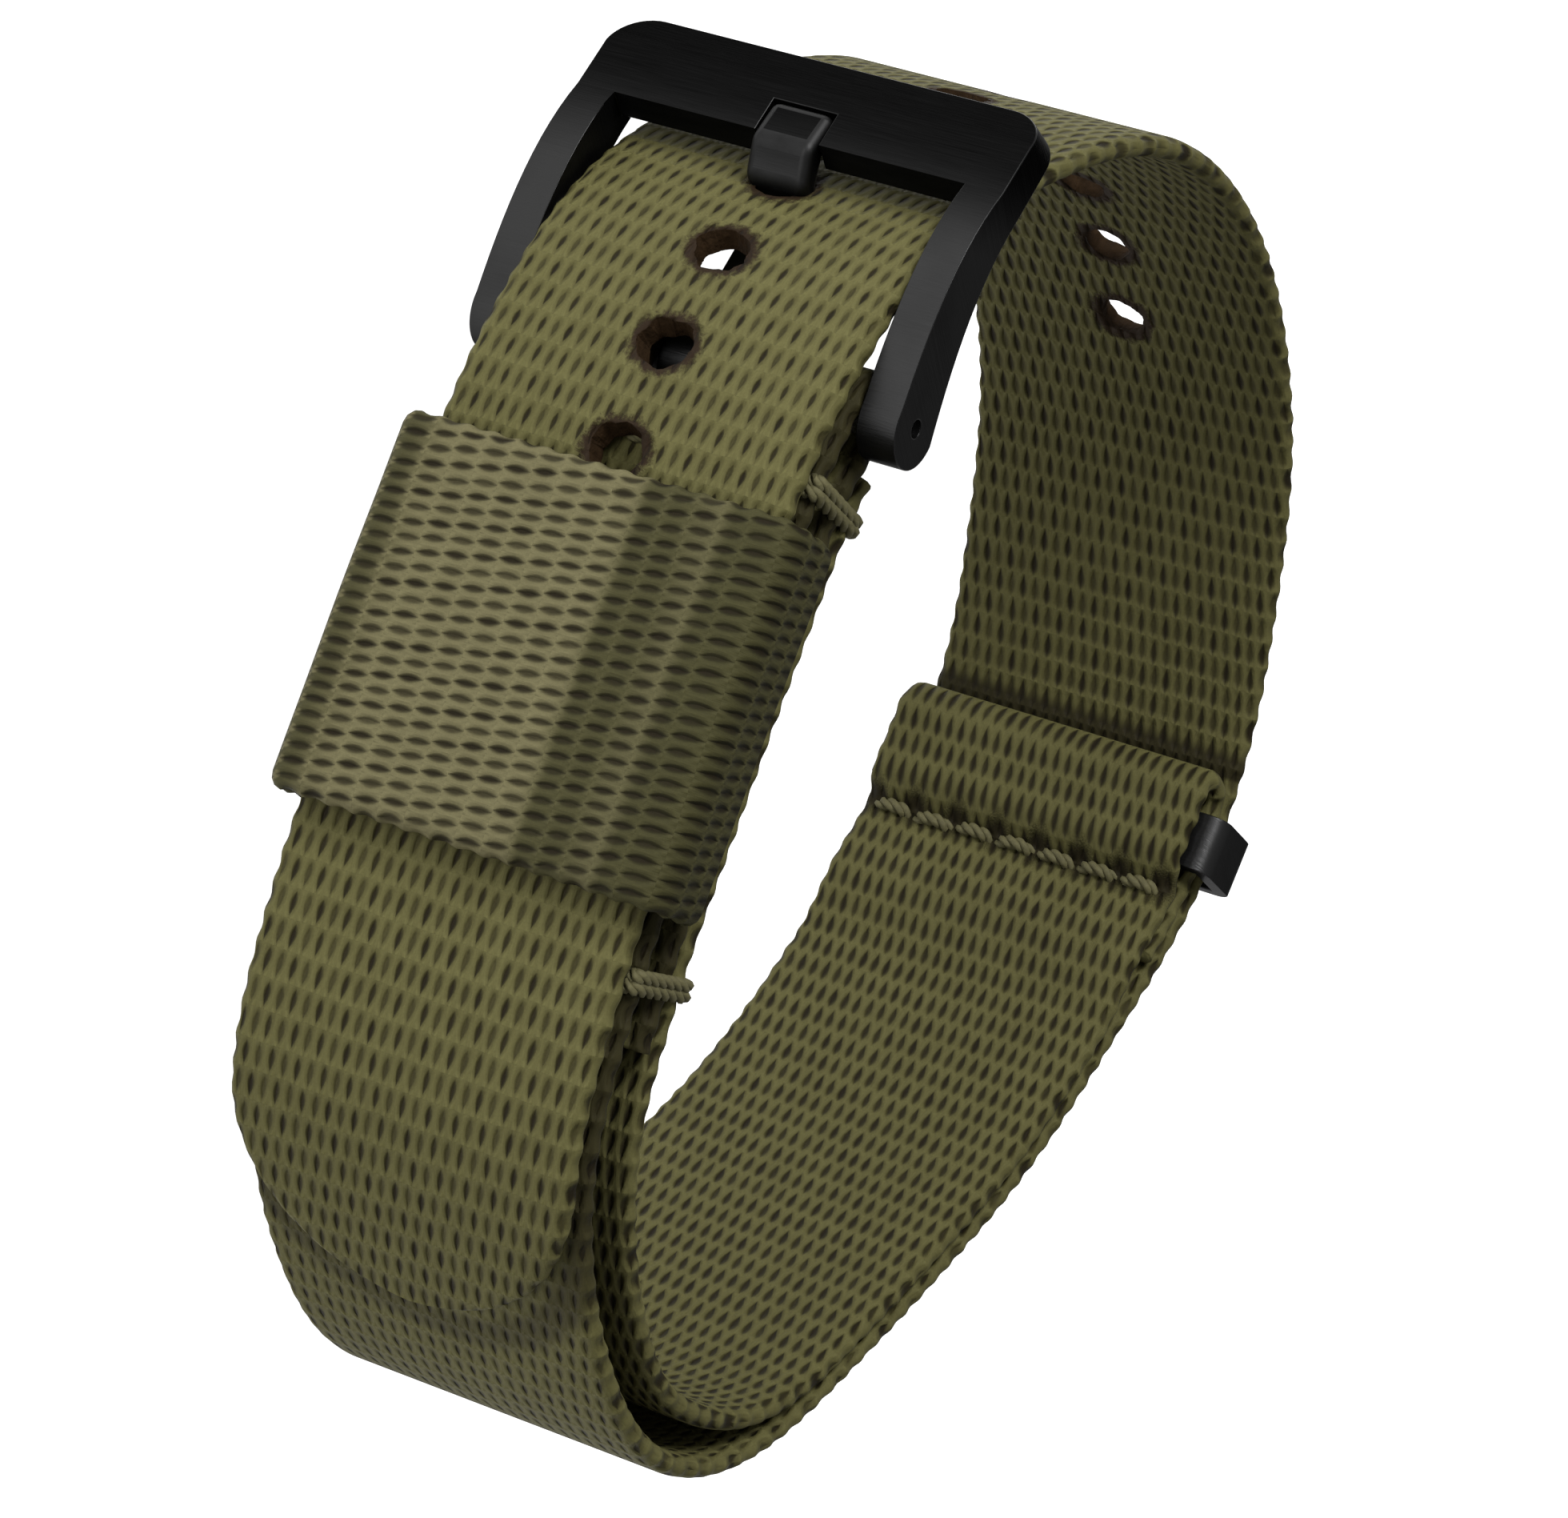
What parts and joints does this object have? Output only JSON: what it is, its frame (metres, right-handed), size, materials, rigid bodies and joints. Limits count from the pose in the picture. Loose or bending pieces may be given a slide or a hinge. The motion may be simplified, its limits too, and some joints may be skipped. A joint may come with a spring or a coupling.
{
  "type": "webbing watch strap",
  "caption": "Buckled webbing watch strap standing on its edge, with a pin buckle on a sprung bar, a sewn keeper, and a second strap folded round a rectangular ring.",
  "frame": {"origin": "centre of the footprint, at the lowest edge of the buckle's lower arm", "axes": "+Z across the width of the webbing, up; +Y from the bottom of the loop towards the buckle's top bar; +X from the front of the loop towards the ring"},
  "size_m": [0.069, 0.0712, 0.0245],
  "materials": {
    "webbing": "ribbed weave",
    "thread": "two-ply thread",
    "dark_metal": "black satin",
    "bar_steel": "satin"
  },
  "bodies": {
    "webbing": {"main_strap": "webbing", "short_strap": "webbing", "keeper": "webbing", "bar_seam": "thread", "keeper_seam": "thread", "ring_seam": "thread"},
    "buckle": {"buckle_frame": "dark_metal"},
    "tongue": {"tongue": "dark_metal"},
    "spring_bar": {"spring_bar_tube": "bar_steel", "spring_bar_coil": "bar_steel"},
    "pin_upper": {"spring_bar_pin_upper": "bar_steel"},
    "pin_lower": {"spring_bar_pin_lower": "bar_steel"},
    "ring": {"ring": "dark_metal"}
  },
  "joints": [
    {"name": "buckle_swing", "type": "hinge", "parent": "webbing", "child": "buckle", "pos_m": [-0.0218, 0.0194, 0.01225], "axis": [0, 0, -1], "range_deg": [-0.7, 0.7]},
    {"name": "tongue_swing", "type": "hinge", "parent": "buckle", "child": "tongue", "pos_m": [-0.0218, 0.0194, 0.01225], "axis": [0, 0, -1], "range_deg": [-0.8, 0]},
    {"name": "spring_bar_spin", "type": "hinge", "parent": "webbing", "child": "spring_bar", "pos_m": [-0.0218, 0.0194, 0.01225], "axis": [0, 0, 1], "continuous": true},
    {"name": "pin_upper_slide", "type": "slide", "parent": "spring_bar", "child": "pin_upper", "axis": [0, 0, -1], "range_m": [0, 0.0016], "stiffness_N_per_m": 300, "springref_m": -0.001, "deforming": ["spring_bar_coil"]},
    {"name": "pin_lower_slide", "type": "slide", "parent": "spring_bar", "child": "pin_lower", "axis": [0, 0, 1], "range_m": [0, 0.0016], "stiffness_N_per_m": 300, "springref_m": -0.001, "deforming": ["spring_bar_coil"]},
    {"name": "ring_tilt", "type": "hinge", "parent": "webbing", "child": "ring", "pos_m": [0.02962, -0.00227, 0.01225], "axis": [0, 0, 1], "range_deg": [-4, 4]}
  ]
}
